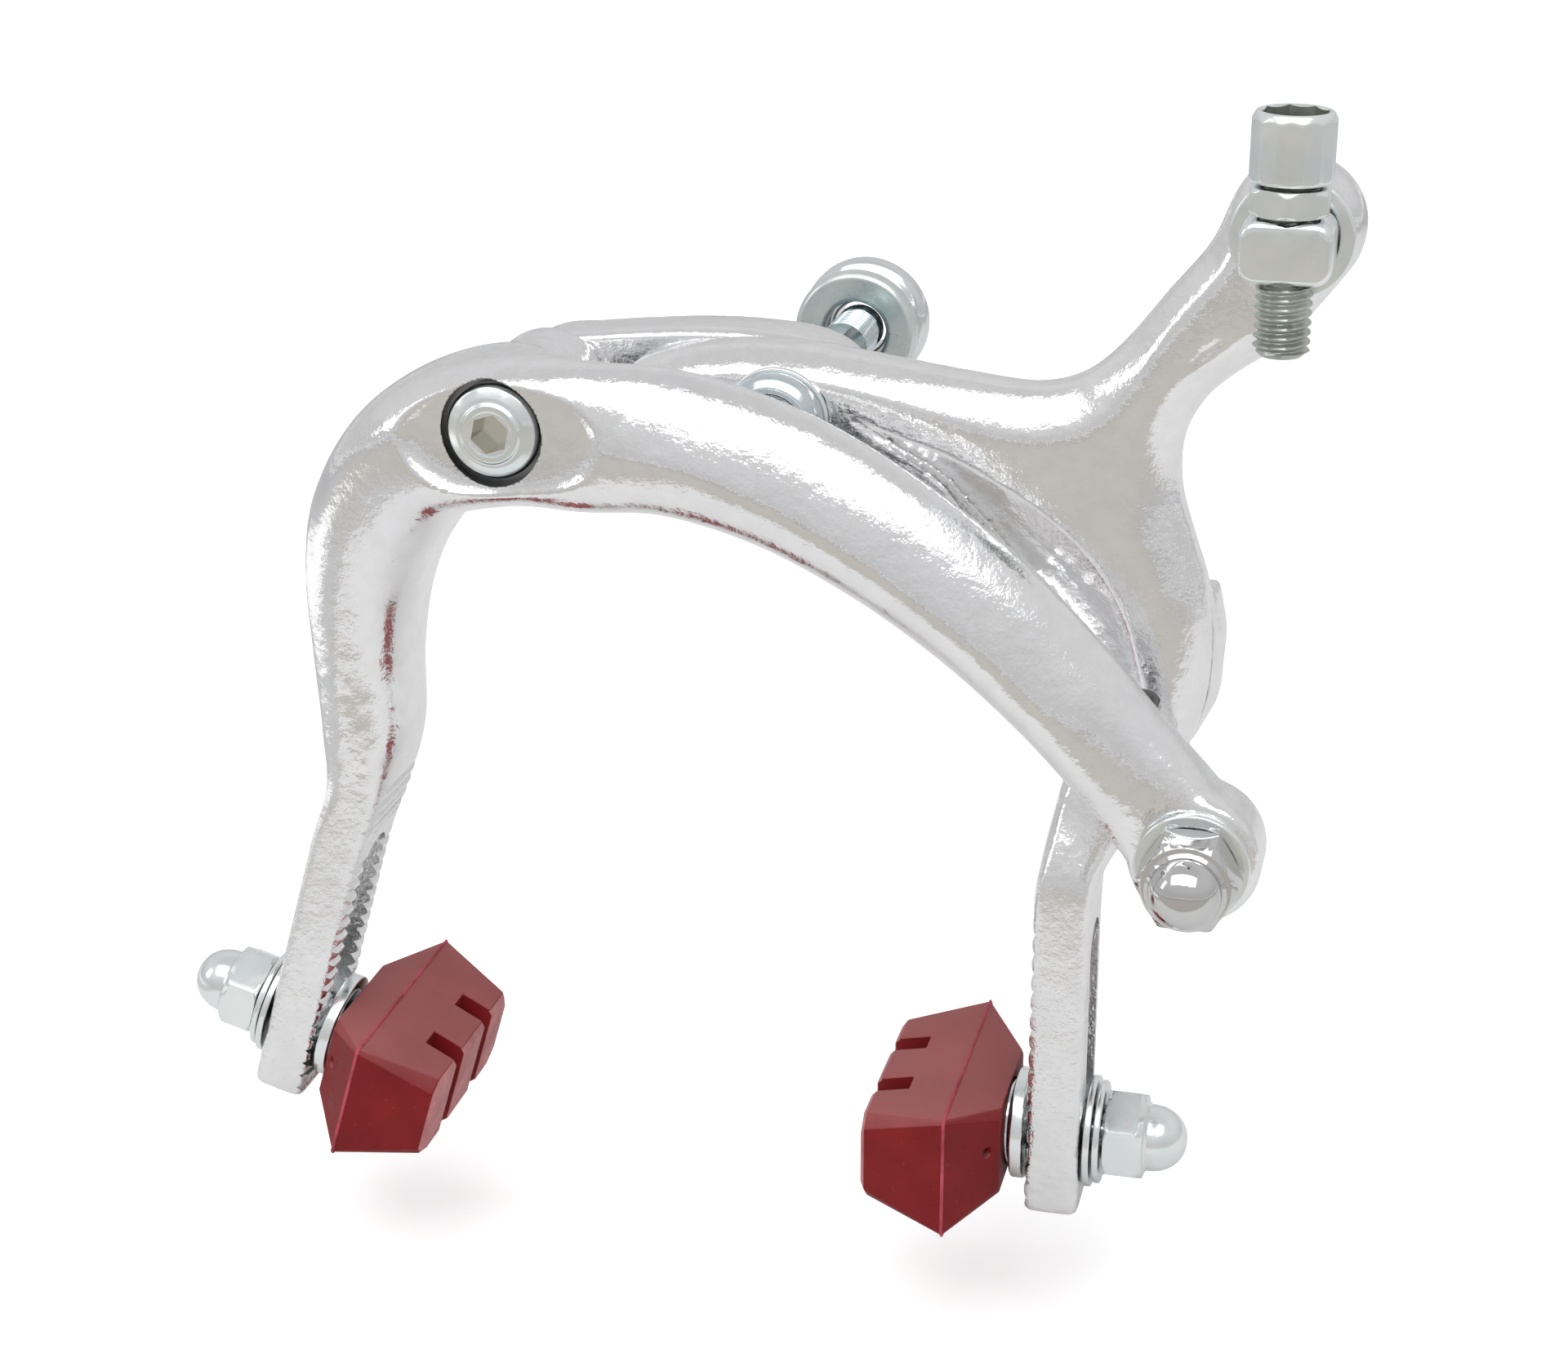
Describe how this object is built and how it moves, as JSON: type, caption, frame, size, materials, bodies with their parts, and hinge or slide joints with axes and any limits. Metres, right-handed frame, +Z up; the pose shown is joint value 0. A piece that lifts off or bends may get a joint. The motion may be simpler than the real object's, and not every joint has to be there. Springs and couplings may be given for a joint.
{
  "type": "rim brake caliper",
  "caption": "Polished dual-pivot side-pull rim brake caliper with long slotted legs, red rubber pads, cable anchor and barrel adjuster.",
  "frame": {"origin": "on the centre bolt's axis, at the rear face of the bracket behind the arms", "axes": "+Z up the fork, +Y along the centre bolt towards the fork crown, +X to the right as seen from the front"},
  "size_m": [0.1402, 0.0735, 0.1334],
  "materials": {
    "polished_aluminium": "polished forging",
    "zinc_plate": "bright zinc plate",
    "chrome_plate": "chrome plate",
    "bright_steel": "bright turned",
    "bearing_bronze": "plain bearing",
    "black_nylon": "moulded",
    "red_rubber": "moulded, slightly dusty"
  },
  "bodies": {
    "mount_group": {"centre_bolt": "zinc_plate", "front_thrust_washer": "bright_steel", "rear_bracket": "polished_aluminium", "bracket_thrust_washer": "black_nylon", "side_pivot_bolt": "zinc_plate", "side_pivot_washer": "black_nylon", "seat_washer": "zinc_plate", "crown_washer": "zinc_plate", "crown_nut": "bright_steel", "return_spring": "bright_steel", "spring_holder": "black_nylon"},
    "front_arm": {"front_arm": "polished_aluminium", "front_arm_bush": "bearing_bronze", "left_spring_slider": "black_nylon"},
    "rear_arm": {"rear_arm": "polished_aluminium", "rear_arm_bush": "bearing_bronze", "right_spring_slider": "black_nylon", "centring_screw": "bright_steel"},
    "cable_anchor": {"anchor_bolt": "bright_steel", "anchor_washer": "bright_steel", "anchor_nut": "chrome_plate"},
    "cable_stop": {"stop_swivel": "zinc_plate", "stop_black_washer": "black_nylon", "stop_flange_washer": "zinc_plate", "stop_retaining_ring": "bright_steel"},
    "adjuster": {"adjuster_barrel": "zinc_plate"},
    "lock_nut": {"adjuster_lock_nut": "zinc_plate"},
    "left_pad_clamp": {"left_inner_washer": "zinc_plate", "left_outer_washer": "zinc_plate", "left_dished_washer": "zinc_plate", "left_pad_nut": "zinc_plate"},
    "left_pad": {"left_brake_pad": "red_rubber", "left_pad_stud": "bright_steel"},
    "right_pad_clamp": {"right_inner_washer": "zinc_plate", "right_outer_washer": "zinc_plate", "right_dished_washer": "zinc_plate", "right_pad_nut": "zinc_plate"},
    "right_pad": {"right_brake_pad": "red_rubber", "right_pad_stud": "bright_steel"}
  },
  "joints": [
    {"name": "front_arm_pivot", "type": "hinge", "parent": "mount_group", "child": "front_arm", "pos_m": [-0.0295, -0.0175, -0.0003], "axis": [0, 1, 0], "range_deg": [-10.5, 0], "stiffness_Nm_per_rad": 0.6, "springref_deg": 14.32, "deforming": ["return_spring"]},
    {"name": "rear_arm_pivot", "type": "hinge", "parent": "mount_group", "child": "rear_arm", "pos_m": [0, -0.0126, 0], "axis": [0, 1, 0], "range_deg": [0, 10.5], "stiffness_Nm_per_rad": 0.6, "springref_deg": -14.32, "deforming": ["return_spring"]},
    {"name": "left_pad_height", "type": "slide", "parent": "front_arm", "child": "left_pad_clamp", "axis": [0.2756, 0, 0.9613], "range_m": [-0.001, 0.022]},
    {"name": "left_pad_turn", "type": "hinge", "parent": "left_pad_clamp", "child": "left_pad", "pos_m": [-0.0622, -0.0158, -0.0834], "axis": [0.9613, 0, -0.2756], "range_deg": [-15, 15]},
    {"name": "right_pad_height", "type": "slide", "parent": "rear_arm", "child": "right_pad_clamp", "axis": [0, 0, 1], "range_m": [-0.001, 0.022]},
    {"name": "right_pad_turn", "type": "hinge", "parent": "right_pad_clamp", "child": "right_pad", "pos_m": [0.03465, -0.0158, -0.0866], "axis": [-1, 0, 0], "range_deg": [-15, 15]},
    {"name": "anchor_turn", "type": "hinge", "parent": "front_arm", "child": "cable_anchor", "pos_m": [0.0502, -0.027, -0.0432], "axis": [0, 1, 0], "continuous": true},
    {"name": "cable_stop_swivel", "type": "hinge", "parent": "rear_arm", "child": "cable_stop", "pos_m": [0.0557, -0.0126, 0.0236], "axis": [0, 1, 0], "range_deg": [-25, 25]},
    {"name": "adjuster_travel", "type": "slide", "parent": "cable_stop", "child": "adjuster", "axis": [0, 0, 1], "range_m": [0, 0.006]},
    {"name": "lock_nut_turn", "type": "hinge", "parent": "cable_stop", "child": "lock_nut", "pos_m": [0.0557, -0.0248, 0.029], "axis": [0, 0, 1], "continuous": true}
  ],
  "couplings": [
    {"joint": "rear_arm_pivot", "follows": "front_arm_pivot", "ratio": -1}
  ]
}
